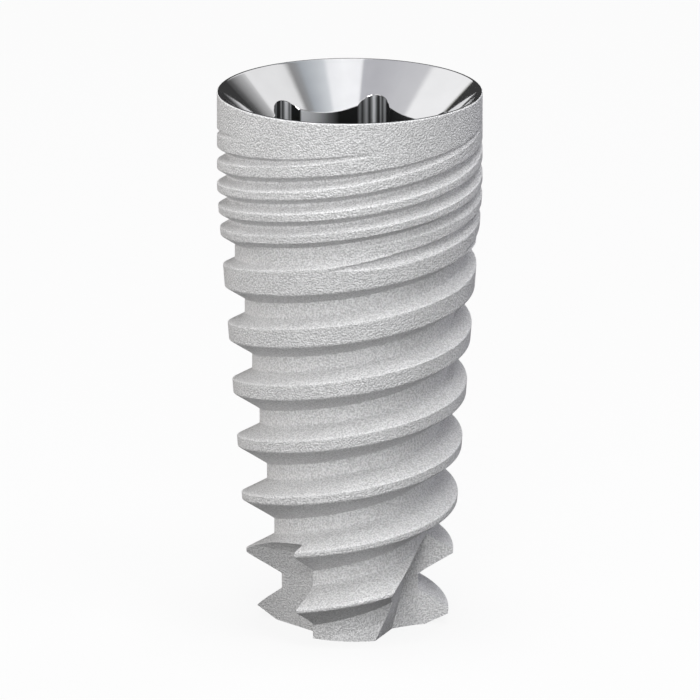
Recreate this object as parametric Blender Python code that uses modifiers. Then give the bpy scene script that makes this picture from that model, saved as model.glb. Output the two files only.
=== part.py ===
"""Dental implant: a one-piece screw-type body with an internal hex, +Z up.

Sizes are in millimetres and every object is scaled to metres, so the part is in metres.

The body stands on its flat apex.  Azimuth is counted from the viewer's side (-Y) towards +X,
and h is the depth below the top face, as the grooves were read from the photograph.
"""
import math

import bmesh
import bpy

for old in list(bpy.data.objects):
    bpy.data.objects.remove(old, do_unlink=True)

MM = 0.001

# Driving dimensions, in millimetres
BODY_HEIGHT = 7.80
PLATFORM_RADIUS = 1.875
LIP_EDGE = 0.015
LIP_WIDTH = 0.030
LIP_OUTER_RADIUS = PLATFORM_RADIUS - LIP_EDGE
LIP_INNER_RADIUS = LIP_OUTER_RADIUS - LIP_WIDTH
TAPER_START = 1.45
TAPER_SLOPE = 0.0780
APEX_EDGE_HEIGHT = 0.16
APEX_EDGE_RADIUS = PLATFORM_RADIUS - TAPER_SLOPE * (BODY_HEIGHT - APEX_EDGE_HEIGHT - TAPER_START)
APEX_RADIUS = 0.7614 * APEX_EDGE_RADIUS

# Threads: every groove climbs on the same right-hand lead
LEAD = 1.61
MAIN_STARTS = 2
MICRO_STARTS = 5
STEPS_PER_TURN = 48
BORE_STEPS = 56
MAIN_LEFT_DEPTH = 2.315
MICRO_LEFT_DEPTH = 0.590
MAIN_FLOOR_HALF = 0.062
MAIN_EASE = 0.052
MAIN_EASE_RISE = 0.040
MAIN_FLANK = math.tan(math.radians(33.5))
MICRO_DEPTH = 0.14
MICRO_FLOOR_HALF = 0.018
MICRO_EASE = 0.060
MICRO_EASE_RISE = 0.100
MICRO_FLANK = 1.05
MIN_STEP = 0.02

# How far the main groove's floor lies below the blank, by depth below the top face
MAIN_SINK = (
    (1.10, -0.085),
    (1.60, 0.023),
    (2.31, 0.196),
    (3.12, 0.270),
    (3.93, 0.310),
    (7.25, 0.473),
    (8.65, 0.540),
)

# How much of the micro groove's full depth is cut, by depth below the top face
MICRO_RAMP = (
    (0.30, -0.30),
    (0.44, 0.00),
    (0.90, 1.00),
    (2.02, 1.00),
    (2.14, 0.00),
    (2.18, -0.30),
)

# Cutting flutes at the apex
FLUTE_COUNT = 3
FLUTE_CORNER_AZIMUTH = 62.0
FLUTE_REACH = PLATFORM_RADIUS + 0.325
FLUTE_KNEE_AZIMUTH = 83.5
FLUTE_KNEE_LEAN = 7.0
FLUTE_KNEE_RADIUS = 0.7327 * APEX_EDGE_RADIUS
FLUTE_KNEE_GAP = 0.05
FLUTE_FACE_AZIMUTH = 90.0
FLUTE_WALL_AZIMUTH = -13.5
FLUTE_HEIGHTS = (-0.30, 0.0, 0.35, 0.70, 0.95, 1.20, 1.40, 1.52, 1.64)

# Radius of a flute's corner line as a share of the apex edge's, by height: it leans outwards and
# then runs out of the body
FLUTE_CORNER = (
    (-0.30, 0.4360),
    (0.00, 0.4884),
    (0.70, 0.6120),
    (0.95, 0.6694),
    (1.40, 0.8117),
    (1.52, 0.9194),
    (1.64, 1.0774),
)

# Internal connection
HEX_ACROSS_FLATS = 2.42
HEX_FLOOR_DEPTH = 1.90
CHANNEL_REACH = 0.21
CHANNEL_TIP_RADIUS = HEX_ACROSS_FLATS / 2.0 + CHANNEL_REACH
CHANNEL_RADIUS = 0.25
CHANNEL_AZIMUTH = 164.4
CHANNEL_POINTS = 10
BORE_RADIUS = 0.80
COUNTERSINK = 0.15
BORE_MOUTH_RADIUS = BORE_RADIUS + COUNTERSINK
BORE_DEPTH = 4.85
DRILL_TIP_DEPTH = BORE_DEPTH + 0.5625 * BORE_RADIUS
CUTTER_RISE = 0.30

part_collection = bpy.data.collections.new("dental_implant")
bpy.context.scene.collection.children.link(part_collection)
cutter_collection = bpy.data.collections.new("cutters")
bpy.context.scene.collection.children.link(cutter_collection)


def follow(table, value):
    """Straight-line reading of a table of (input, output) pairs, held at both ends."""
    if value <= table[0][0]:
        return table[0][1]
    for (x0, y0), (x1, y1) in zip(table, table[1:]):
        if value <= x1:
            return y0 + (y1 - y0) * (value - x0) / (x1 - x0)
    return table[-1][1]


def taper(depth):
    """Radius of the straight collar and the taper below it."""
    return PLATFORM_RADIUS - TAPER_SLOPE * max(0.0, depth - TAPER_START)


def envelope(depth):
    """Outside radius of the blank at a depth below the top face: broken edge, taper, apex chamfer."""
    radius = taper(depth)
    if depth < LIP_EDGE:
        radius = LIP_OUTER_RADIUS + depth
    above_edge = BODY_HEIGHT - APEX_EDGE_HEIGHT - depth
    if above_edge < 0.0:
        radius += above_edge * (APEX_EDGE_RADIUS - APEX_RADIUS) / APEX_EDGE_HEIGHT
    return radius


def place(radius, azimuth, height):
    """Point at a radius, an azimuth in degrees from -Y towards +X, and a height."""
    angle = math.radians(azimuth)
    return (radius * math.sin(angle), -radius * math.cos(angle), height)


def add_object(name, bm, collection):
    """Put a bmesh in a new object of a collection, with its faces turned outwards."""
    bmesh.ops.recalc_face_normals(bm, faces=bm.faces[:])
    mesh = bpy.data.meshes.new(name)
    bm.to_mesh(mesh)
    bm.free()
    item = bpy.data.objects.new(name, mesh)
    collection.objects.link(item)
    item.scale = (MM, MM, MM)
    return item


def add_cutter(name, bm):
    """A cutter is kept out of the render and drawn as wire."""
    item = add_object(name, bm, cutter_collection)
    item.hide_render = True
    item.display_type = "WIRE"
    return item


def loft(rings):
    """Closed solid through rings of points that all have the same count."""
    bm = bmesh.new()
    rows = []
    for ring in rings:
        rows.append([bm.verts.new(point) for point in ring])
    count = len(rows[0])
    for lower, upper in zip(rows, rows[1:]):
        for i in range(count):
            j = (i + 1) % count
            bm.faces.new((lower[i], lower[j], upper[j], upper[i]))
    bm.faces.new(rows[0])
    bm.faces.new(list(reversed(rows[-1])))
    return bm


def groove(offset, floor, half, ease, ease_rise, flank):
    """Radius of a groove's section at an axial offset: flat floor, eased corner, straight flank."""
    away = abs(offset)
    if away <= half:
        return floor
    if away <= half + ease:
        return floor + ease_rise * (away - half) / ease
    return floor + ease_rise + (away - half - ease) / flank


def main_radius(offset, centre_depth):
    """Main groove, carried unchanged down the lead while its floor follows the core's taper."""
    floor = taper(centre_depth) - follow(MAIN_SINK, centre_depth)
    return groove(offset, floor, MAIN_FLOOR_HALF, MAIN_EASE, MAIN_EASE_RISE, MAIN_FLANK)


def micro_radius(offset, centre_depth):
    """Micro groove: its floor sinks below the outside of the blank along the run-out."""
    floor = taper(centre_depth) - MICRO_DEPTH * follow(MICRO_RAMP, centre_depth)
    return groove(offset, floor, MICRO_FLOOR_HALF, MICRO_EASE, MICRO_EASE_RISE, MICRO_FLANK)


def groove_family(step, starts, left_depth, shallow, deep, radius_at, corners):
    """Grooves that cross one column of the blank: (family key, centre depth, radius rule, corners)."""
    pitch = LEAD / starts
    base = left_depth - LEAD * step / STEPS_PER_TURN
    lowest = math.ceil((shallow - base) / pitch)
    highest = math.floor((deep - base) / pitch)
    return [(turn, base + turn * pitch, radius_at, corners) for turn in range(lowest, highest + 1)]


def column_grooves(step):
    """Every groove that crosses the column, with the key that follows it round to the next column."""
    found = []
    main_corners = (MAIN_FLOOR_HALF, MAIN_FLOOR_HALF + MAIN_EASE)
    micro_corners = (MICRO_FLOOR_HALF, MICRO_FLOOR_HALF + MICRO_EASE)
    main_range = (MAIN_SINK[0][0], MAIN_SINK[-1][0])
    micro_range = (MICRO_RAMP[1][0], MICRO_RAMP[-2][0])
    families = (
        ("main", MAIN_STARTS, MAIN_LEFT_DEPTH, *main_range, main_radius, main_corners),
        ("micro", MICRO_STARTS, MICRO_LEFT_DEPTH, *micro_range, micro_radius, micro_corners),
    )
    for kind, starts, left_depth, shallow, deep, radius_at, corners in families:
        for turn, depth, rule, points in groove_family(
            step, starts, left_depth, shallow, deep, radius_at, corners
        ):
            found.append(((kind, turn), depth, rule, points))
    return found


def crossing(rule, centre_depth, side, near, far):
    """Offset where a groove's flank comes out through the outside of the blank, by bisection."""
    for _ in range(40):
        middle = (near + far) / 2.0
        if rule(middle, centre_depth) < envelope(centre_depth + side * middle):
            near = middle
        else:
            far = middle
    return near


def column(step):
    """Points of the threaded surface down one column, as (key, depth, radius), top to bottom."""
    grooves = column_grooves(step)

    def radius_at(depth):
        radius = envelope(depth)
        for _, centre, rule, _ in grooves:
            radius = min(radius, rule(depth - centre, centre))
        return radius

    points = []
    for key, centre, rule, corners in grooves:
        if rule(0.0, centre) >= envelope(centre) - 0.004:
            continue
        for side in (-1.0, 1.0):
            edge = crossing(rule, centre, side, 0.0, LEAD / MAIN_STARTS)
            offsets = [corner for corner in corners if corner < edge - MIN_STEP]
            offsets.append(edge)
            for rank, offset in enumerate(offsets):
                if rank == len(offsets) - 1:
                    rank = 9
                points.append(((key, side, rank), centre + side * offset))
    points.append((("lip",), LIP_EDGE))
    points.append((("taper",), TAPER_START))
    points.append((("chamfer",), BODY_HEIGHT - APEX_EDGE_HEIGHT))
    points = [point for point in points if LIP_EDGE <= point[1] < BODY_HEIGHT - MIN_STEP]
    points.sort(key=lambda point: point[1])
    kept = [(("top",), 0.0)]
    for point in points:
        if point[1] - kept[-1][1] > MIN_STEP or point[0] == ("lip",):
            kept.append(point)
    kept.append((("foot",), BODY_HEIGHT))
    return [(key, depth, radius_at(depth)) for key, depth in kept]


def next_key(key, wraps):
    """Key of the same groove in the next column; the turn number falls where the column wraps."""
    if not wraps or not isinstance(key[0], tuple):
        return key
    (kind, turn), side, rank = key
    starts = MAIN_STARTS if kind == "main" else MICRO_STARTS
    return ((kind, turn - starts), side, rank)


def matched_rows(left_keys, right_keys):
    """Longest run of shared keys that keeps its order in both columns, as (left, right) rows."""
    where = {key: row for row, key in enumerate(right_keys)}
    shared = [(row, where[key]) for row, key in enumerate(left_keys) if key in where]
    best = []
    for index, (_, right_row) in enumerate(shared):
        chain = max(
            (best[k] for k in range(index) if shared[k][1] < right_row),
            key=len,
            default=[],
        )
        best.append(chain + [shared[index]])
    return max(best, key=len)


def lace(bm, left, right):
    """Triangles between two runs of points that share their ends, always stepping down the side that lags."""
    a = 0
    b = 0
    while a < len(left) - 1 or b < len(right) - 1:
        ahead_left = (a + 1) / max(len(left) - 1, 1) if a < len(left) - 1 else 9.0
        ahead_right = (b + 1) / max(len(right) - 1, 1) if b < len(right) - 1 else 9.0
        if ahead_left <= ahead_right:
            bm.faces.new((left[a], left[a + 1], right[b]))
            a += 1
        else:
            bm.faces.new((left[a], right[b + 1], right[b]))
            b += 1


def threaded_body(name):
    """Blank with its grooves: columns of points round the axis, joined row by row along the threads."""
    bm = bmesh.new()
    columns = []
    for step in range(STEPS_PER_TURN):
        azimuth = -90.0 + 360.0 * step / STEPS_PER_TURN
        rows = column(step)
        corners = [bm.verts.new(place(radius, azimuth, BODY_HEIGHT - depth)) for _, depth, radius in rows]
        columns.append(([key for key, _, _ in rows], corners))
    for step, (keys, left) in enumerate(columns):
        wraps = step == STEPS_PER_TURN - 1
        right_keys, right = columns[0] if wraps else columns[step + 1]
        left_keys = [next_key(key, wraps) for key in keys]
        pairs = matched_rows(left_keys, right_keys)
        for (left_a, right_a), (left_b, right_b) in zip(pairs, pairs[1:]):
            lace(bm, left[left_a : left_b + 1], right[right_a : right_b + 1])
    bm.faces.new([corners[0] for _, corners in columns])
    bm.faces.new([corners[-1] for _, corners in columns])
    bmesh.ops.triangulate(bm, faces=bm.faces[:])
    return add_object(name, bm, part_collection)


def flute_cutter(name, turn):
    """Flute with a leaning corner line, a clearance wall, and a cutting face that has a knee in it."""
    rings = []
    for height in FLUTE_HEIGHTS:
        corner_radius = follow(FLUTE_CORNER, height) * APEX_EDGE_RADIUS
        corner = place(corner_radius, FLUTE_CORNER_AZIMUTH + turn, height)
        knee_radius = max(FLUTE_KNEE_RADIUS, corner_radius + FLUTE_KNEE_GAP)
        knee_azimuth = FLUTE_KNEE_AZIMUTH + FLUTE_KNEE_LEAN * height
        knee = place(knee_radius, knee_azimuth + turn, height)
        face = place(FLUTE_REACH, FLUTE_FACE_AZIMUTH + turn, 0.0)
        wall = place(FLUTE_REACH, FLUTE_WALL_AZIMUTH + turn, 0.0)
        far_face = (knee[0] + face[0], knee[1] + face[1], height)
        far_wall = (corner[0] + wall[0], corner[1] + wall[1], height)
        far = (corner[0] + face[0] + wall[0], corner[1] + face[1] + wall[1], height)
        rings.append([corner, far_wall, far, far_face, knee])
    return add_cutter(name, loft(rings))


def hex_cutter(name):
    """Hexagon with a half-round relief channel along each corner."""
    flat = HEX_ACROSS_FLATS / 2.0
    centre_radius = CHANNEL_TIP_RADIUS - CHANNEL_RADIUS
    # The channel's circle meets the hex flat at this angle, seen from the channel's centre
    flat_distance = flat - centre_radius * math.cos(math.radians(30.0))
    meet = 30.0 + math.degrees(math.acos(flat_distance / CHANNEL_RADIUS))
    outline = []
    for side in range(6):
        middle = CHANNEL_AZIMUTH + 60.0 * side
        centre = place(centre_radius, middle, 0.0)
        for k in range(CHANNEL_POINTS + 1):
            swing = -meet + 2.0 * meet * k / CHANNEL_POINTS
            tip = place(CHANNEL_RADIUS, middle + swing, 0.0)
            outline.append((centre[0] + tip[0], centre[1] + tip[1]))
    rings = []
    for height in (BODY_HEIGHT - HEX_FLOOR_DEPTH, BODY_HEIGHT + CUTTER_RISE):
        rings.append([(x, y, height) for x, y in outline])
    return add_cutter(name, loft(rings))


def socket_cutter(name):
    """Turned hollow: lead-in cone, then the screw bore with its countersunk mouth and drill tip."""
    cone_end_depth = LIP_INNER_RADIUS - BORE_MOUTH_RADIUS
    profile = [
        (0.0, BODY_HEIGHT + CUTTER_RISE),
        (LIP_INNER_RADIUS + CUTTER_RISE, BODY_HEIGHT + CUTTER_RISE),
        (BORE_MOUTH_RADIUS, BODY_HEIGHT - cone_end_depth),
        (BORE_MOUTH_RADIUS, BODY_HEIGHT - HEX_FLOOR_DEPTH),
        (BORE_RADIUS, BODY_HEIGHT - HEX_FLOOR_DEPTH - COUNTERSINK),
        (BORE_RADIUS, BODY_HEIGHT - BORE_DEPTH),
        (0.0, BODY_HEIGHT - DRILL_TIP_DEPTH),
    ]
    bm = bmesh.new()
    points = [bm.verts.new((radius, 0.0, height)) for radius, height in profile]
    for start, end in zip(points, points[1:]):
        bm.edges.new((start, end))
    mesh = bpy.data.meshes.new(name)
    bm.to_mesh(mesh)
    bm.free()
    item = bpy.data.objects.new(name, mesh)
    cutter_collection.objects.link(item)
    item.scale = (MM, MM, MM)
    item.hide_render = True
    item.display_type = "WIRE"
    screw = item.modifiers.new("turn", "SCREW")
    screw.axis = "Z"
    screw.angle = math.radians(360.0)
    screw.steps = BORE_STEPS
    screw.render_steps = BORE_STEPS
    screw.use_merge_vertices = True
    screw.merge_threshold = 1e-5
    return item


def subtract(item, cutter):
    """Exact Boolean difference, kept as a modifier."""
    cut = item.modifiers.new("cut_" + cutter.name, "BOOLEAN")
    cut.operation = "DIFFERENCE"
    cut.solver = "EXACT"
    cut.object = cutter


def titanium(name):
    """Grit-blasted and etched titanium."""
    material = bpy.data.materials.new(name)
    material.use_nodes = True
    shader = material.node_tree.nodes["Principled BSDF"]
    shader.inputs["Base Color"].default_value = (0.56, 0.56, 0.57, 1.0)
    shader.inputs["Metallic"].default_value = 0.6
    shader.inputs["Roughness"].default_value = 0.6
    return material


body = threaded_body("implant_body")
body.data.materials.append(titanium("blasted_titanium"))

for flute in range(FLUTE_COUNT):
    subtract(body, flute_cutter(f"flute_{flute + 1}", 360.0 * flute / FLUTE_COUNT))

subtract(body, socket_cutter("socket"))
subtract(body, hex_cutter("internal_hex"))
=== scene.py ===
import math

import bmesh
import bpy
import numpy as np
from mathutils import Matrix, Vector


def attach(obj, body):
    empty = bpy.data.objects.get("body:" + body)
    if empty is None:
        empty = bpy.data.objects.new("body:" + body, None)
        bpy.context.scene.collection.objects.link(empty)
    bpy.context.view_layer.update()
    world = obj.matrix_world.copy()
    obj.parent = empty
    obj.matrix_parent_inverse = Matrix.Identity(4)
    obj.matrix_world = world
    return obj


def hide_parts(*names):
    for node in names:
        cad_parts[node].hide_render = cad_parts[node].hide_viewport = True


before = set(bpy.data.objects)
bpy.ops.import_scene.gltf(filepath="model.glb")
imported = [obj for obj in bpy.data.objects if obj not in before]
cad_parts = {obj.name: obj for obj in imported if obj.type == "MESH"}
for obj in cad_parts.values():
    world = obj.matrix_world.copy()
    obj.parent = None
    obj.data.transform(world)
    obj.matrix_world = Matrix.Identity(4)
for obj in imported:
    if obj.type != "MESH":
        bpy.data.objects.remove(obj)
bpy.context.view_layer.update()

# The photograph was taken with a long lens, looking down on the standing implant by fifteen
# degrees.  The camera aims at the middle of its axis.
MM = 0.001
LOOK_DOWN = math.radians(15.0)
CAMERA_DISTANCE = 420.0
PIXELS_PER_MM = 70.708
AXIS_POINT = 3.90
IMAGE_POINT = (349.25, 357.37)
FRAME_PIXELS = 700.0
FRAME_MIDDLE = 349.5
SENSOR_WIDTH = 36.0

camera_data = bpy.data.cameras.new("studio_camera")
camera_data.type = "PERSP"
camera_data.sensor_width = SENSOR_WIDTH
camera_data.lens = SENSOR_WIDTH * CAMERA_DISTANCE * PIXELS_PER_MM / FRAME_PIXELS
camera_data.shift_x = -(IMAGE_POINT[0] - FRAME_MIDDLE) / FRAME_PIXELS
camera_data.shift_y = (IMAGE_POINT[1] - FRAME_MIDDLE) / FRAME_PIXELS
camera_data.clip_start = 0.01
camera_data.clip_end = 4.0
camera = bpy.data.objects.new("studio_camera", camera_data)
bpy.context.scene.collection.objects.link(camera)
camera.location = (
    0.0,
    -CAMERA_DISTANCE * math.cos(LOOK_DOWN) * MM,
    (AXIS_POINT + CAMERA_DISTANCE * math.sin(LOOK_DOWN)) * MM,
)
camera.rotation_euler = (math.pi / 2.0 - LOOK_DOWN, 0.0, 0.0)
bpy.context.scene.camera = camera

# Threaded body: the outside of the one-piece titanium screw, turned with a double-lead main thread
# and five starts of micro-thread on the collar, milled with three flutes at the apex, then
# grit-blasted and etched to a matte light grey.
HEIGHT = 7.80
PLATFORM_RADIUS = 1.875
RIM_DEPTH = 0.024
RIM_ROWS = (0.016, 0.010, 0.006, 0.004)
RIM_BEND = 0.021
RIM_ROUNDING = 0.014
TAPER_START = 1.45
TAPER_SLOPE = 0.0780
APEX_EDGE_HEIGHT = 0.16
APEX_RADIUS = 1.06
LEAD = 1.6145
MAIN_STARTS = 2
MICRO_STARTS = 5
MAIN_LEFT_DEPTH = 2.318
MICRO_LEFT_DEPTH = 0.577
COLUMNS = 160
ROWS_PER_LEAD = 115
CRISP_ANGLE = 31.0

# Which grooves are worked out, between which depths below the top face they exist, and the radius
# that stands for no cut
MICRO_NUMBERS = range(-3, 12)
MICRO_SPAN = (0.30, 2.20)
MAIN_NUMBERS = range(-3, 11)
MAIN_SPAN = (1.12, 8.62)
NO_CUT = 9.0

# Groove sections: half the floor's width, then how far each flank runs along the axis for every
# millimetre it rises, first the one under the crest above, then the one over the crest below.  The
# main groove's two flanks change near the apex, by depth below the top face.
MAIN_HALF = 0.110
MAIN_UNDER = ((7.16, 0.63), (7.57, 0.58))
MAIN_OVER = ((6.30, 0.53), (7.16, 0.65), (7.28, 0.67), (7.44, 4.00))
MICRO_HALF = 0.018
MICRO_FLANK = 0.61
MICRO_DEPTH = 0.14
MAIN_BLEND = 0.020
MICRO_BLEND = 0.012

# How far the main groove's floor lies below the blank, by depth below the top face
MAIN_SINK = (
    (1.10, -0.100),
    (1.60, 0.010),
    (2.31, 0.184),
    (3.12, 0.260),
    (3.93, 0.301),
    (7.25, 0.471),
    (7.57, 0.472),
    (7.72, 0.452),
    (7.95, 0.050),
    (8.65, 0.050),
)

# Share of the micro groove's full depth that is cut, by depth below the top face
MICRO_RAMP = (
    (0.30, -0.45),
    (0.44, 0.00),
    (0.90, 1.00),
    (2.02, 1.00),
    (2.14, 0.00),
    (2.20, -0.45),
)

# Three cutting flutes: the corner line between wall and cutting face as (height, right, back), the
# wall's turn from the viewer's side in degrees with its twist for every mm of height, and the face's
# bend, its start as a share of the way from the corner and its end and the face's as (right, back)
# from the bend
FLUTE_COUNT = 3
FLUTE_CORNER = (
    (-0.30, 0.524, -0.306),
    (0.00, 0.600, -0.260),
    (0.87, 0.822, -0.123),
    (1.26, 0.998, -0.015),
    (1.37, 1.120, 0.000),
    (1.47, 1.320, 0.000),
    (1.56, 1.550, 0.000),
)
FLUTE_LEVELS = 24
FLUTE_WALL_TURN = -20.0
FLUTE_WALL_TWIST = 14.0
FLUTE_WALL_LAST = -2.0
FLUTE_WALL_POINTS = 12
FLUTE_REACH = 2.2
FLUTE_FAR = 2.8
FLUTE_BEND = (1.02, 0.00)
FLUTE_FACE_LEAST = 0.03
FLUTE_BEND_FROM = 0.60
FLUTE_BEND_TO = (0.20, -0.027)
FLUTE_FACE_TO = (2.2, -0.30)


def table_value(table, values):
    """Straight-line reading of a table of (input, output) pairs, held at both ends."""
    stops = np.array(table)
    return np.interp(values, stops[:, 0], stops[:, 1])


def around(radius, azimuth, height):
    """Points (r sin a, -r cos a, z), with the azimuth a in degrees from the viewer's side (-Y) to +X."""
    angle = np.radians(azimuth)
    radius, angle, height = np.broadcast_arrays(radius, angle, height)
    return np.stack([radius * np.sin(angle), -radius * np.cos(angle), height], axis=-1)


def taper_radius(depth):
    """Straight collar, then a taper of 0.078 mm a mm."""
    return PLATFORM_RADIUS - TAPER_SLOPE * np.maximum(depth - TAPER_START, 0.0)


def blank_radius(depth):
    """The taper with a rounded rim at the top and the chamfer of the apex at the foot."""
    radius = taper_radius(depth)
    bend = np.clip((RIM_DEPTH - depth) / RIM_BEND, 0.0, 1.0)
    radius = radius - RIM_ROUNDING * (1.0 - np.sqrt(1.0 - bend**2))
    edge_depth = HEIGHT - APEX_EDGE_HEIGHT
    edge_radius = taper_radius(edge_depth)
    fall = (edge_radius - APEX_RADIUS) / APEX_EDGE_HEIGHT
    return np.where(depth > edge_depth, edge_radius - fall * (depth - edge_depth), radius)


def groove_radius(below, floor, half, under, over):
    """Groove section by distance below its middle: flat floor between two straight flanks."""
    rise_under = np.maximum(-below - half, 0.0) / under
    return floor + rise_under + np.maximum(below - half, 0.0) / over


def soft_minimum(a, b, width):
    """Smaller of two radii, rounded where they come within a width of each other."""
    share = np.clip(0.5 + 0.5 * (b - a) / width, 0.0, 1.0)
    return b + (a - b) * share - width * share * (1.0 - share)


def threaded_radius(depth, azimuth):
    """Blank radius cut by every groove, each centred at its left depth less lead times turn."""
    radius = blank_radius(depth)
    turn = (azimuth + 90.0) / 360.0
    for number in MICRO_NUMBERS:
        centre = MICRO_LEFT_DEPTH + number * LEAD / MICRO_STARTS - LEAD * turn
        floor = taper_radius(centre) - MICRO_DEPTH * table_value(MICRO_RAMP, centre)
        cut = groove_radius(depth - centre, floor, MICRO_HALF, MICRO_FLANK, MICRO_FLANK)
        cut = np.where((centre > MICRO_SPAN[0]) & (centre < MICRO_SPAN[1]), cut, NO_CUT)
        radius = soft_minimum(radius, cut, MICRO_BLEND)
    for number in MAIN_NUMBERS:
        centre = MAIN_LEFT_DEPTH + number * LEAD / MAIN_STARTS - LEAD * turn
        floor = taper_radius(centre) - table_value(MAIN_SINK, centre)
        under, over = table_value(MAIN_UNDER, centre), table_value(MAIN_OVER, centre)
        cut = groove_radius(depth - centre, floor, MAIN_HALF, under, over)
        cut = np.where((centre > MAIN_SPAN[0]) & (centre < MAIN_SPAN[1]), cut, NO_CUT)
        radius = soft_minimum(radius, cut, MAIN_BLEND)
    return radius


def mesh_object(name, points, faces):
    """Object at the origin from points in millimetres, its mesh written in metres."""
    mesh = bpy.data.meshes.new(name)
    mesh.from_pydata((np.asarray(points) * MM).tolist(), [], faces)
    mesh.validate()
    item = bpy.data.objects.new(name, mesh)
    bpy.context.scene.collection.objects.link(item)
    return item


def smooth_by_angle(item, degrees):
    """Smooth shading that stays crisp where two faces meet at more than the angle."""
    item.data.shade_smooth()
    item.data.set_sharp_from_angle(angle=math.radians(degrees))


def threaded_blank():
    """Rows that climb with the lead round the axis, flattened onto the top and the foot, both capped."""
    spacing = LEAD / ROWS_PER_LEAD
    row_count = math.ceil((HEIGHT + LEAD) / spacing) + 1
    column, row = np.meshgrid(np.arange(COLUMNS), np.arange(row_count), indexing="ij")
    sink = LEAD * column / COLUMNS
    first = np.floor((sink + RIM_DEPTH) / spacing + 1e-6).astype(int)
    last = np.ceil((sink + HEIGHT) / spacing - 1e-6).astype(int)
    row = np.clip(row, first, last)
    depth = np.clip(row * spacing - sink, RIM_DEPTH, HEIGHT)
    azimuth = -90.0 + 360.0 * column / COLUMNS
    points = around(threaded_radius(depth, azimuth), azimuth, HEIGHT - depth).reshape(-1, 3)
    index = column * row_count + row
    # The column after the last one is the first again, one lead further down its rows
    ahead = np.clip(np.arange(row_count) - ROWS_PER_LEAD, first[0, 0], last[0, 0])
    index = np.vstack([index, ahead[None, :]])
    a, b = index[:-1, :-1].ravel(), index[:-1, 1:].ravel()
    d, c = index[1:, :-1].ravel(), index[1:, 1:].ravel()
    faces = np.concatenate([np.stack([a, b, c], 1), np.stack([a, c, d], 1)])
    top_rim, foot_rim = index[:, 0], index[:, -1]
    turns = azimuth[:, 0]
    for rim_depth in RIM_ROWS:
        ring = around(blank_radius(np.full(COLUMNS, rim_depth)), turns, HEIGHT - rim_depth)
        rim = np.append(len(points) + np.arange(COLUMNS), len(points))
        points = np.vstack([points, ring])
        faces = np.concatenate([
            faces,
            np.stack([rim[:-1], top_rim[:-1], top_rim[1:]], 1),
            np.stack([rim[:-1], top_rim[1:], rim[1:]], 1),
        ])
        top_rim = rim
    top, foot = len(points), len(points) + 1
    points = np.vstack([points, [0.0, 0.0, HEIGHT - RIM_ROWS[-1]], [0.0, 0.0, 0.0]])
    lid = np.stack([np.full(COLUMNS, top), top_rim[:-1], top_rim[1:]], 1)
    base = np.stack([np.full(COLUMNS, foot), foot_rim[1:], foot_rim[:-1]], 1)
    faces = np.concatenate([faces, lid, base])
    whole = (faces[:, 0] != faces[:, 1]) & (faces[:, 1] != faces[:, 2]) & (faces[:, 2] != faces[:, 0])
    faces = faces[whole]
    used, faces = np.unique(faces, return_inverse=True)
    return points[used], faces.reshape(-1, 3)


def flute_solid(turn):
    """Prism carried up the flute's corner line, with a twisting wall and a gently bent cutting face.

    At each level the wall runs straight from the corner, turned further the higher it is, and the
    face's bend is a parabola between its two tangents: (1-t)^2 start + 2t(1-t) bend + t^2 stop.
    """
    line = np.array(FLUTE_CORNER)
    height = np.linspace(line[0, 0], line[-1, 0], FLUTE_LEVELS)
    corner = np.stack([np.interp(height, line[:, 0], line[:, column]) for column in (1, 2)], axis=1)
    wall_turn = np.radians(np.minimum(FLUTE_WALL_TURN + FLUTE_WALL_TWIST * height, FLUTE_WALL_LAST))
    wall = corner + FLUTE_REACH * np.stack([np.sin(wall_turn), -np.cos(wall_turn)], axis=1)
    bend = np.tile(np.array(FLUTE_BEND), (FLUTE_LEVELS, 1))
    bend[:, 0] = np.maximum(bend[:, 0], corner[:, 0] + FLUTE_FACE_LEAST)
    section = [corner + share * (wall - corner) for share in np.linspace(0.0, 1.0, FLUTE_WALL_POINTS)]
    section += [wall + np.array([FLUTE_FAR, 0.0]), bend + np.array(FLUTE_FACE_TO)]
    start, stop = corner + FLUTE_BEND_FROM * (bend - corner), bend + np.array(FLUTE_BEND_TO)
    for share in (1.0, 0.75, 0.5, 0.25, 0.0):
        section.append((1 - share) ** 2 * start + 2 * share * (1 - share) * bend + share**2 * stop)
    section = np.stack(section, axis=1)
    count = section.shape[1]
    radius = np.linalg.norm(section, axis=2)
    azimuth = np.degrees(np.arctan2(section[..., 0], -section[..., 1])) + turn
    rings = around(radius, azimuth, height[:, None])
    sides = np.arange(count)
    floors = count * np.arange(FLUTE_LEVELS - 1)[:, None]
    low, ahead = (floors + sides).ravel(), (floors + np.roll(sides, -1)).ravel()
    pairs = np.stack([low, ahead, ahead + count, low, ahead + count, low + count], axis=1)
    ends = [sides[::-1].tolist(), (sides + count * (FLUTE_LEVELS - 1)).tolist()]
    return rings.reshape(-1, 3), ends + pairs.reshape(-1, 3).tolist()


def recalculate(item):
    """Merge doubles and turn every face outwards."""
    bm = bmesh.new()
    bm.from_mesh(item.data)
    bmesh.ops.remove_doubles(bm, verts=bm.verts[:], dist=1e-7)
    bmesh.ops.recalc_face_normals(bm, faces=bm.faces[:])
    bm.to_mesh(item.data)
    bm.free()


def cut_with(item, cutters):
    """Exact Boolean differences, applied at a thousand times life size where the solver is surest."""
    for cutter in cutters:
        boolean = item.modifiers.new("cut", "BOOLEAN")
        boolean.operation = "DIFFERENCE"
        boolean.solver = "EXACT"
        boolean.object = cutter
    shape = bpy.data.meshes.new_from_object(item.evaluated_get(bpy.context.evaluated_depsgraph_get()))
    item.modifiers.clear()
    item.data = shape
    for cutter in cutters:
        bpy.data.objects.remove(cutter, do_unlink=True)


def fill_slots(item, slots, number):
    """Give the mesh all the slots and put every face in one of them."""
    for material in slots:
        item.data.materials.append(material)
    item.data.polygons.foreach_set("material_index", [number] * len(item.data.polygons))


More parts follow.
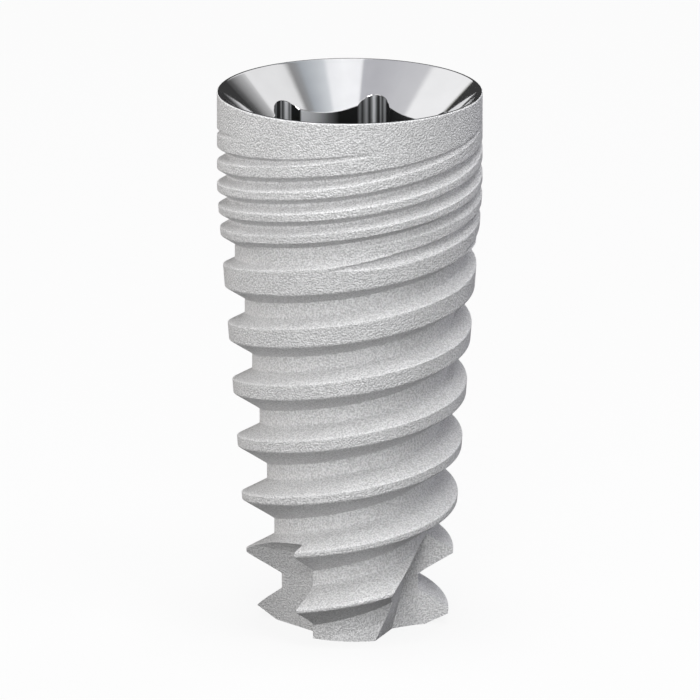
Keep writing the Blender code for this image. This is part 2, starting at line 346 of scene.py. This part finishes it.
blank_points, blank_faces = threaded_blank()
threads = mesh_object("threaded_body", blank_points / MM, blank_faces.tolist())
recalculate(threads)
# Two slots, so that the faces the flutes leave can be told from the thread's and stay crisp
cut_slots = [bpy.data.materials.new(name) for name in ("turned", "milled")]
fill_slots(threads, cut_slots, 0)
flute_cutters = []
for flute in range(FLUTE_COUNT):
    flute_points, flute_faces = flute_solid(360.0 * flute / FLUTE_COUNT)
    cutter = mesh_object(f"flute_{flute + 1}", flute_points / MM, flute_faces)
    recalculate(cutter)
    fill_slots(cutter, cut_slots, 1)
    flute_cutters.append(cutter)
bpy.context.view_layer.update()
cut_with(threads, flute_cutters)

# The lid closed the solid for the cutting only: the polished lip starts at its rim
bm = bmesh.new()
bm.from_mesh(threads.data)
lid_height = HEIGHT - RIM_ROWS[-1]
lid_faces = [f for f in bm.faces if all(v.co.z > lid_height - 1e-4 for v in f.verts)]
bmesh.ops.delete(bm, geom=lid_faces, context="FACES")
bmesh.ops.scale(bm, vec=(MM, MM, MM), verts=bm.verts[:])
bm.to_mesh(threads.data)
bm.free()
smooth_by_angle(threads, CRISP_ANGLE)
slot_index = np.zeros(len(threads.data.polygons), dtype=np.int32)
threads.data.polygons.foreach_get("material_index", slot_index)
threads.data.polygons.foreach_set("use_smooth", slot_index == 0)
threads.data.polygons.foreach_set("material_index", slot_index * 0)
threads.data.materials.clear()
for material in cut_slots:
    bpy.data.materials.remove(material)


class Wire:
    """A shader value that can stand in a sum: each operation adds one Math node."""

    def __init__(self, finish, socket):
        self.finish = finish
        self.socket = socket

    def math(self, operation, first, second):
        return self.finish.add("ShaderNodeMath", {"operation": operation}, {0: first, 1: second})

    def __add__(self, other):
        return self.math("ADD", self, other)

    def __radd__(self, other):
        return self.math("ADD", other, self)

    def __sub__(self, other):
        return self.math("SUBTRACT", self, other)

    def __rsub__(self, other):
        return self.math("SUBTRACT", other, self)

    def __mul__(self, other):
        return self.math("MULTIPLY", self, other)

    def __rmul__(self, other):
        return self.math("MULTIPLY", other, self)

    def __truediv__(self, other):
        return self.math("DIVIDE", self, other)

    def __pow__(self, other):
        return self.math("POWER", self, other)


class Finish:
    """A surface finish in the making: add() puts in one node and gives back what comes out of it."""

    def __init__(self, name, **uniform):
        self.material = bpy.data.materials.new(name)
        self.material.use_nodes = True
        self.tree = self.material.node_tree
        self.shader = self.tree.nodes["Principled BSDF"]
        for socket, value in uniform.items():
            self.set(socket.replace("_", " "), value)

    def add(self, kind, settings=None, inputs=None, output=0):
        """One node of a kind, with its settings, its ramp's stops and what its sockets are given."""
        node = self.tree.nodes.new(kind)
        for key, value in (settings or {}).items():
            if key == "stops":
                ramp = node.color_ramp.elements
                for element, (place, colour) in zip(ramp, (value[0], value[-1])):
                    element.position, element.color = place, colour
                for place, colour in value[1:-1]:
                    ramp.new(place).color = colour
            else:
                setattr(node, key, value)
        for key, value in (inputs or {}).items():
            self.join(node.inputs[key], value)
        return Wire(self, node.outputs[output])

    def join(self, socket, value):
        if isinstance(value, Wire):
            self.tree.links.new(value.socket, socket)
        else:
            socket.default_value = value

    def set(self, socket, value):
        """Feed one socket of the surface shader."""
        self.join(self.shader.inputs[socket], value)

    def surface(self, closure):
        """Put another shader in the surface shader's place."""
        self.tree.links.new(closure.socket, self.tree.nodes["Material Output"].inputs["Surface"])

    def millimetres(self):
        """Object coordinates in millimetres."""
        place = self.add("ShaderNodeTexCoord", output="Object")
        return self.add("ShaderNodeVectorMath", {"operation": "SCALE"}, {0: place, "Scale": 1.0 / MM})

    def noise(self, place, scale, detail=2.0, roughness=0.5):
        """Noise with a size given in features a millimetre."""
        return self.add(
            "ShaderNodeTexNoise",
            {"noise_dimensions": "3D"},
            {"Vector": place, "Scale": scale, "Detail": detail, "Roughness": roughness},
        )

    def blend(self, share, first, second):
        """Colour between two others."""
        return self.add(
            "ShaderNodeMix",
            {"data_type": "RGBA", "blend_type": "MIX"},
            {0: share, 6: first, 7: second},
            output=2,
        )

    def relief(self, height, distance, strength=1.0):
        """Bump of a height from 0 to 1 that stands a distance in millimetres."""
        bump = self.add(
            "ShaderNodeBump", {}, {"Height": height, "Distance": distance * MM, "Strength": strength}
        )
        self.set("Normal", bump)


PEBBLES_PER_MM = 42.0
PEBBLE_HEIGHT = 0.016
CLOUDS_PER_MM = 2.2
BLASTED_DARK = (0.50, 0.50, 0.505, 1.0)
BLASTED_LIGHT = (0.74, 0.74, 0.745, 1.0)
blasted = Finish("blasted_titanium", Metallic=0.12)
spot = blasted.millimetres()
pebbles = blasted.noise(spot, PEBBLES_PER_MM, 0.0, 0.5)
broad = blasted.noise(spot, CLOUDS_PER_MM, 2.0, 0.5)
blasted.relief(pebbles, PEBBLE_HEIGHT)
shade = 0.5 + 2.7 * (pebbles - 0.5) + 0.3 * (broad - 0.5)
blasted.set("Base Color", blasted.blend(shade, BLASTED_DARK, BLASTED_LIGHT))
blasted.set("Roughness", 0.62 - 0.12 * pebbles)
threads.data.materials.append(blasted.material)
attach(threads, "root")

# Mouth: the narrow lip and the 45-degree lead-in cone, the only faces left as turned and polished.
# The cone runs down to the hexagon, where its lower edge is lightly broken.
LIP_INNER_RADIUS = 1.830
HEX_ACROSS_FLATS = 2.42
HEX_FLOOR_DEPTH = 1.90
CHANNEL_TIP_RADIUS = 1.42
CHANNEL_RADIUS = 0.25
CHANNEL_AZIMUTH = 164.4
CORNER_ROUNDING = 0.028
EDGE_BREAK = 0.010
BREAK_START = 0.003


def hexagon_outline(swell):
    """Hexagon with a round relief channel at each corner, its cusps rounded, swollen by a distance.

    One sixth is a channel arc, a rounding that touches the arc and the flat, the flat, and the next
    rounding.  Swelling moves each arc along its own radius, so the outlines keep their point count.
    """
    flat = HEX_ACROSS_FLATS / 2.0
    centre = np.array([CHANNEL_TIP_RADIUS - CHANNEL_RADIUS, 0.0])
    out = np.array([math.cos(math.radians(30.0)), math.sin(math.radians(30.0))])
    along = np.array([-out[1], out[0]])
    # The rounding's centre lies its radius beyond the flat and outside the channel's circle
    base = out * (flat + CORNER_ROUNDING) - centre
    reach = (CHANNEL_RADIUS + CORNER_ROUNDING) ** 2 - base @ base
    slide = -(base @ along) + math.sqrt((base @ along) ** 2 + reach)
    pivot = centre + base + along * slide
    lean = math.atan2(pivot[1] - centre[1], pivot[0] - centre[0])
    swing = np.linspace(-lean, lean, 33)
    arc = centre + (CHANNEL_RADIUS + swell) * np.stack([np.cos(swing), np.sin(swing)], 1)
    turn = np.linspace(lean + math.pi, math.radians(210.0), 9)[1:]
    rounding = pivot + (CORNER_ROUNDING - swell) * np.stack([np.cos(turn), np.sin(turn)], 1)
    mirror = np.array([[math.cos(math.pi / 3.0), math.sin(math.pi / 3.0)],
                       [math.sin(math.pi / 3.0), -math.cos(math.pi / 3.0)]])
    far = rounding[::-1] @ mirror.T
    share = np.linspace(0.0, 1.0, 8)[1:-1, None]
    flat_run = rounding[-1] + (far[0] - rounding[-1]) * share
    sixth = np.concatenate([arc, rounding, flat_run, far])
    sixths = []
    for side in range(6):
        angle = math.radians(CHANNEL_AZIMUTH - 90.0 + 60.0 * side)
        turned = np.array([[math.cos(angle), -math.sin(angle)], [math.sin(angle), math.cos(angle)]])
        sixths.append(sixth @ turned.T)
    return np.concatenate(sixths)


def cone_height(radius):
    """The lead-in cone falls as much as it closes in, from the lip's inner edge."""
    return HEIGHT - (LIP_INNER_RADIUS - radius)


def ring_grid(rings):
    """Quads between rings of points with the same count, closed round the axis."""
    rings = np.stack(rings)
    levels, count = rings.shape[:2]
    index = np.arange(levels * count).reshape(levels, count)
    ahead = np.roll(index, -1, axis=1)
    faces = np.stack([index[:-1], index[1:], ahead[1:], ahead[:-1]], axis=-1).reshape(-1, 4)
    return rings.reshape(-1, 3), faces


def add_height(outline, height):
    """Flat outline lifted to a height, one for all points or one for each."""
    return np.column_stack([outline, np.broadcast_to(height, len(outline))])


def outline_rays(outline, radius, height):
    """Circle with one point on the ray of each point of the outline."""
    reach = np.linalg.norm(outline, axis=1, keepdims=True)
    return add_height(outline / reach * radius, height)


hexagon = hexagon_outline(0.0)
broken = hexagon_outline(EDGE_BREAK)
near_break = hexagon_outline(EDGE_BREAK + BREAK_START)
part_break = hexagon_outline(EDGE_BREAK * 0.30)
broken_height = cone_height(np.linalg.norm(broken, axis=1))
near_height = cone_height(np.linalg.norm(near_break, axis=1))
rim_radius = float(blank_radius(np.array(RIM_ROWS[-1])))
lip_rows = (
    (rim_radius, HEIGHT - RIM_ROWS[-1]),
    (rim_radius - 0.003, HEIGHT - 0.001),
    (rim_radius - 0.006, HEIGHT),
    (LIP_INNER_RADIUS + 0.003, HEIGHT),
    (LIP_INNER_RADIUS + 0.0005, HEIGHT - 0.0006),
    (LIP_INNER_RADIUS - 0.0025, HEIGHT - 0.0030),
    (LIP_INNER_RADIUS - 0.008, HEIGHT - 0.008),
    (LIP_INNER_RADIUS - 0.014, HEIGHT - 0.014),
)
mouth_rings = [outline_rays(hexagon, radius, height) for radius, height in lip_rows]
cone_start = mouth_rings[-1]
for share in (0.25, 0.5, 0.75):
    between = cone_start[:, :2] * (1.0 - share) + near_break * share
    mouth_rings.append(add_height(between, cone_height(np.linalg.norm(between, axis=1))))
mouth_rings.append(add_height(near_break, near_height))
mouth_rings.append(add_height(broken, broken_height))
mouth_rings.append(add_height(part_break, broken_height - 0.55 * EDGE_BREAK))
mouth_rings.append(add_height(hexagon, broken_height - 1.3 * EDGE_BREAK))
mouth_points, mouth_faces = ring_grid(mouth_rings)
mouth = mesh_object("polished_mouth", mouth_points, mouth_faces.tolist())
smooth_by_angle(mouth, 30.0)

TURNING_LINES_PER_MM = 60.0
POLISHED_DARK = (0.70, 0.70, 0.71, 1.0)
POLISHED_LIGHT = (0.78, 0.78, 0.79, 1.0)
polished = Finish("polished_titanium", Metallic=1.0)
spot = polished.millimetres()
apart = polished.add("ShaderNodeSeparateXYZ", {}, {0: spot}, output="Z")
flat_spot = polished.add("ShaderNodeVectorMath", {"operation": "MULTIPLY"}, {0: spot, 1: (1.0, 1.0, 0.0)})
reach = polished.add("ShaderNodeVectorMath", {"operation": "LENGTH"}, {0: flat_spot}, output="Value")
lines = {"X": reach * TURNING_LINES_PER_MM, "Y": apart * TURNING_LINES_PER_MM}
turning = polished.noise(polished.add("ShaderNodeCombineXYZ", {}, lines), 1.0, 2.0, 0.6)
cloud = polished.noise(spot, 2.5, 2.0, 0.5)
polished.relief(turning, 0.00008)
polished.set("Roughness", 0.035 + 0.04 * turning + 0.02 * cloud)
polished.set("Base Color", polished.blend(cloud, POLISHED_DARK, POLISHED_LIGHT))
mouth.data.materials.append(polished.material)
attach(mouth, "root")

# Hex socket: six flats and six corner channels broached straight down to a flat floor, which is
# where the driver and the abutment seat.
SOCKET_FLOOR = HEIGHT - HEX_FLOOR_DEPTH
FLOOR_ROUNDING = ((0.020, 1.0), (0.006, 0.997), (0.0, 0.985))
BORE_MOUTH_RADIUS = 0.95
wall_rings = [mouth_rings[-1]]
wall_top, wall_foot = mouth_rings[-1][:, 2], SOCKET_FLOOR + FLOOR_ROUNDING[0][0]
for share in (0.02, 0.25, 0.5, 0.75):
    wall_rings.append(add_height(hexagon, wall_top + (wall_foot - wall_top) * share))
for rise, shrink in FLOOR_ROUNDING:
    wall_rings.append(add_height(hexagon * shrink, SOCKET_FLOOR + rise))
wall_rings.append(outline_rays(hexagon, BORE_MOUTH_RADIUS + 0.01, SOCKET_FLOOR))
wall_rings.append(outline_rays(hexagon, BORE_MOUTH_RADIUS, SOCKET_FLOOR - 0.006))
socket_points, socket_faces = ring_grid(wall_rings)
socket = mesh_object("hex_socket", socket_points, socket_faces.tolist())
smooth_by_angle(socket, 40.0)

# Painted reflections and painted shade on the broached walls: bright and dark strokes, by the angle from
# the back towards the right
PAINTED_REFLECTION_STROKES = (
    (-66.0, 0.02),
    (-49.0, 0.02),
    (-47.8, 0.26),
    (-46.8, 0.02),
    (-43.9, 0.02),
    (-43.2, 0.34),
    (-42.5, 0.03),
    (-41.4, 0.10),
    (-40.4, 0.50),
    (-39.2, 0.44),
    (-38.4, 0.02),
    (-37.7, 0.28),
    (-37.1, 0.01),
    (-33.2, 0.01),
    (-32.4, 0.50),
    (-24.0, 0.36),
    (-14.0, 0.10),
    (-7.0, 0.01),
    (4.8, 0.01),
    (6.4, 0.20),
    (7.5, 0.01),
    (10.0, 0.28),
    (11.2, 0.01),
    (12.4, 0.10),
    (14.0, 0.52),
    (15.8, 0.05),
    (17.3, 0.01),
    (18.0, 0.32),
    (18.9, 0.01),
    (21.0, 0.34),
    (22.4, 0.01),
    (66.0, 0.06),
)
PAINTED_STROKE_SPAN = 66.0
PAINTED_STROKE_TINT = (1.35, 1.38, 1.42)
# Socket floor and bore: a dark grey with a random cloudy tone, its darkness painted shade for the deep
# recess
RECESS_SHADE_DARK = (0.24, 0.24, 0.245, 1.0)
RECESS_SHADE_LIGHT = (0.30, 0.30, 0.305, 1.0)
machined = Finish("machined_titanium_painted_light", Metallic=0.3, Specular_IOR_Level=0.1)
spot = machined.millimetres()
apart = machined.add("ShaderNodeSeparateXYZ", {}, {0: spot}, output="X")
behind = machined.add("ShaderNodeSeparateXYZ", {}, {0: spot}, output="Y")
above = machined.add("ShaderNodeSeparateXYZ", {}, {0: spot}, output="Z")
side = apart.math("ARCTAN2", apart, behind) * (180.0 / math.pi)
stops = []
for angle, tone in PAINTED_REFLECTION_STROKES:
    place = (angle + PAINTED_STROKE_SPAN) / (2.0 * PAINTED_STROKE_SPAN)
    stops.append((place, (*(part * tone for part in PAINTED_STROKE_TINT), 1.0)))
sweep = (side + PAINTED_STROKE_SPAN) / (2.0 * PAINTED_STROKE_SPAN)
# Painted reflection and shade: the wall's colour is read from the strokes by its angle round the socket
painted_reflection_stroke = machined.add("ShaderNodeValToRGB", {"stops": stops}, {"Fac": sweep}, output="Color")
wall = above.math("GREATER_THAN", above, SOCKET_FLOOR + 0.004)
strokes = machined.add("ShaderNodeVectorMath", {"operation": "MULTIPLY"}, {0: spot, 1: (22.0, 22.0, 1.2)})
broach = machined.noise(strokes, 1.0, 2.0, 0.6)
cloud = machined.noise(spot, 3.0, 2.0, 0.5)
machined.relief(broach, 0.0008)
machined.set("Roughness", 0.30 + 0.10 * broach)
# The walls take the painted strokes, the floor and the bore the dark painted shade
recess_shade = machined.blend(cloud, RECESS_SHADE_DARK, RECESS_SHADE_LIGHT)
machined.set("Base Color", machined.blend(wall, recess_shade, painted_reflection_stroke))
socket.data.materials.append(machined.material)
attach(socket, "root")

# Screw bore: a countersunk mouth, a fine internal thread for the abutment screw, and the drill's
# cone at the bottom.
BORE_RADIUS = 0.80
BORE_DEPTH = 4.85
DRILL_TIP_DEPTH = 5.30
BORE_PITCH = 0.40
BORE_THREAD = 0.17
BORE_THREAD_START = 1.6145
BORE_TOOTH_RISE = 1.25
BORE_TOOTH_FLAT = 0.12
BORE_FADE = ((2.15, 0.0), (2.45, 1.0), (4.35, 1.0), (4.60, 0.0))
BORE_COLUMNS = 96
BORE_TOP_ROWS = (1.906, 2.03, 2.05)
BORE_ROWS = (2.07, 90)


def bore_radius(depth, azimuth):
    """Countersink down to the minor radius, then a triangular thread that fades in and out."""
    phase = ((depth - BORE_THREAD_START) / BORE_PITCH + azimuth / 360.0) % 1.0
    tooth = BORE_TOOTH_RISE * (1.0 - np.abs(2.0 * phase - 1.0)) - BORE_TOOTH_FLAT
    sink = np.maximum(BORE_MOUTH_RADIUS - (depth - HEX_FLOOR_DEPTH), BORE_RADIUS)
    return sink + BORE_THREAD * np.clip(tooth, 0.0, 1.0) * table_value(BORE_FADE, depth)


bore_azimuth = np.arange(BORE_COLUMNS) * 360.0 / BORE_COLUMNS
bore_rings = []
for depth in np.concatenate([BORE_TOP_ROWS, np.linspace(BORE_ROWS[0], BORE_DEPTH, BORE_ROWS[1])]):
    bore_rings.append(around(bore_radius(depth, bore_azimuth), bore_azimuth, HEIGHT - depth))
for share in (0.02, 0.5, 0.999):
    tip_depth = BORE_DEPTH + (DRILL_TIP_DEPTH - BORE_DEPTH) * share
    bore_rings.append(around(BORE_RADIUS * (1.0 - share), bore_azimuth, HEIGHT - tip_depth))
bore_points, bore_faces = ring_grid(bore_rings)
bore_faces = bore_faces.tolist()
bore_faces.append(list(range(len(bore_points) - BORE_COLUMNS, len(bore_points))))
bore = mesh_object("screw_bore", bore_points, bore_faces)
smooth_by_angle(bore, 50.0)
# The bore shares the socket floor's dark painted shade
bore.data.materials.append(machined.material)
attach(bore, "root")

for piece in (threads, mouth, socket, bore):
    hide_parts("implant_body")

# Studio: pale paper to stand on, a white surround, large soft lamps, and over the mouth a curved
# card with soft grey bands that only the metal's reflections see, as a product photographer's
# flags do.
FLOOR_HALF = 600.0
WHITE = (0.957, 0.957, 0.957, 1.0)
floor_corners = [(FLOOR_HALF * x, FLOOR_HALF * y, 0.0) for x, y in ((-1, -1), (1, -1), (1, 1), (-1, 1))]
floor = mesh_object("floor", floor_corners, [(0, 1, 2, 3)])
paper = Finish("floor_paper", Roughness=0.9)
sight = paper.add("ShaderNodeLightPath", output="Is Camera Ray")
gloss = paper.add("ShaderNodeLightPath", output="Is Glossy Ray")
through = paper.add("ShaderNodeLightPath", output="Is Transmission Ray")
paper.set("Base Color", paper.blend(sight, (0.03, 0.03, 0.03, 1.0), (0.90, 0.90, 0.90, 1.0)))
glow = paper.add("ShaderNodeEmission", {}, {"Color": WHITE, "Strength": 1.0})
shown = paper.add(
    "ShaderNodeMixShader",
    {},
    {0: 0.93 * sight + 0.15 * gloss + 0.80 * through, 1: Wire(paper, paper.shader.outputs[0]), 2: glow},
)
paper.surface(shown)
floor.data.materials.append(paper.material)

world = bpy.data.worlds.new("studio")
bpy.context.scene.world = world
world.use_nodes = True


class Surround(Finish):
    """The world's own node tree, built with the same calls."""

    def __init__(self, world):
        self.tree = world.node_tree
        self.shader = self.tree.nodes["Background"]


surround = Surround(world)
sight = surround.add("ShaderNodeLightPath", output="Is Camera Ray")
gloss = surround.add("ShaderNodeLightPath", output="Is Glossy Ray")
through = surround.add("ShaderNodeLightPath", output="Is Transmission Ray")
surround.set("Color", WHITE)
surround.set("Strength", 0.02 + 0.98 * (sight + through) + 0.38 * gloss)


# The lamps are alike and look at the implant's middle: name, place, power in watts and colour
LAMP_SIZE = 45.0
LAMP_AIM = Vector((0.0, 0.0, 4.0))
LAMPS = (
    ("top_lamp", (0.0, -4.0, 134.0), 0.120, (1.0, 1.0, 1.0)),
    ("upper_left_lamp", (-21.0, -57.0, 119.0), 0.028, (1.0, 1.0, 1.0)),
    ("upper_right_lamp", (39.0, -47.0, 119.0), 0.050, (1.0, 1.0, 1.0)),
    ("high_lamp", (0.0, -106.0, 79.0), 0.052, (1.0, 1.0, 1.0)),
    ("front_lamp", (-20.0, -127.0, 22.0), 0.070, (1.0, 1.0, 1.0)),
    ("left_lamp", (-129.0, -5.0, 15.0), 0.057, (1.0, 0.98, 0.96)),
    ("left_back_lamp", (-98.0, 82.0, 27.0), 0.040, (1.0, 0.97, 0.94)),
    ("right_lamp", (125.0, -22.0, 31.0), 0.016, (0.94, 0.94, 1.0)),
    ("right_back_lamp", (96.0, 81.0, 38.0), 0.048, (0.92, 0.92, 1.0)),
)


def soft_lamp(name, place, power, colour):
    """Square area lamp in millimetres, turned from its place towards the implant."""
    lamp_data = bpy.data.lights.new(name, "AREA")
    lamp_data.shape = "SQUARE"
    lamp_data.size = LAMP_SIZE * MM
    lamp_data.energy = power
    lamp_data.color = colour
    lamp = bpy.data.objects.new(name, lamp_data)
    bpy.context.scene.collection.objects.link(lamp)
    lamp.location = Vector(place) * MM
    lamp.rotation_euler = (LAMP_AIM - Vector(place)).to_track_quat("-Z", "Y").to_euler()


for lamp_settings in LAMPS:
    soft_lamp(*lamp_settings)

# Bands of the card by the angle at which they stand over the mouth, from the left to the right
CARD_BANDS = (
    (-90.0, (0.02, 0.02, 0.02)),
    (-74.0, (0.03, 0.03, 0.03)),
    (-60.0, (0.15, 0.15, 0.12)),
    (-58.0, (1.10, 1.10, 1.10)),
    (-41.0, (1.10, 1.10, 1.10)),
    (-38.8, (0.74, 0.74, 0.76)),
    (-20.0, (0.61, 0.61, 0.64)),
    (-7.9, (0.50, 0.50, 0.53)),
    (-6.9, (1.06, 1.06, 1.08)),
    (4.0, (1.10, 1.11, 1.12)),
    (12.4, (1.02, 1.03, 1.05)),
    (14.6, (0.74, 0.77, 0.80)),
    (26.0, (0.46, 0.49, 0.52)),
    (28.0, (0.36, 0.37, 0.38)),
    (31.0, (0.32, 0.32, 0.32)),
    (33.0, (0.98, 0.98, 0.98)),
    (48.5, (1.02, 1.02, 1.02)),
    (51.5, (0.50, 0.50, 0.50)),
    (57.0, (0.12, 0.12, 0.12)),
    (62.0, (0.03, 0.03, 0.03)),
    (90.0, (0.02, 0.02, 0.02)),
)
CARD_RADIUS = 75.0
CARD_HALF_RUN = 110.0
CARD_GLOW = 1.25
arc, run = np.linspace(-math.pi / 2.0, math.pi / 2.0, 91), np.linspace(-CARD_HALF_RUN, CARD_HALF_RUN, 3)
arc, run = np.meshgrid(arc, run, indexing="ij")
card_points = np.stack([CARD_RADIUS * np.sin(arc), run, HEIGHT + CARD_RADIUS * np.cos(arc)], axis=-1)
index = np.arange(arc.size).reshape(arc.shape)
card_faces = np.stack([index[:-1, :-1], index[:-1, 1:], index[1:, 1:], index[1:, :-1]], -1).reshape(-1, 4)
card = mesh_object("banded_card", card_points.reshape(-1, 3), card_faces.tolist())
banded = Finish("banded_card")
spot = banded.millimetres()
apart = banded.add("ShaderNodeSeparateXYZ", {}, {0: spot}, output="X")
above = banded.add("ShaderNodeSeparateXYZ", {}, {0: spot}, output="Z")
stand = apart.math("ARCTAN2", apart, above - HEIGHT)
stops = []
for angle, colour in CARD_BANDS:
    stops.append(((angle + 90.0) / 180.0, (*(part / CARD_GLOW for part in colour), 1.0)))
bands = banded.add("ShaderNodeValToRGB", {"stops": stops}, {"Fac": stand / math.pi + 0.5}, output="Color")
banded.surface(banded.add("ShaderNodeEmission", {}, {"Color": bands, "Strength": CARD_GLOW}))
card.data.materials.append(banded.material)

# A dark card stands behind, where the lip and the cone's two ends look
end = mesh_object(
    "dark_card", [(-120, 105, 1), (120, 105, 1), (120, 105, 84), (-120, 105, 84)], [(0, 1, 2, 3)]
)
dark = Finish("dark_card")
dark.surface(dark.add("ShaderNodeEmission", {}, {"Color": (0.05, 0.05, 0.05, 1.0), "Strength": 1.0}))
end.data.materials.append(dark.material)
for reflector in (card, end):
    reflector.visible_camera = False
    reflector.visible_diffuse = False
    reflector.visible_transmission = False
    reflector.visible_volume_scatter = False
    reflector.visible_shadow = False

bpy.context.scene.view_settings.view_transform = "Standard"
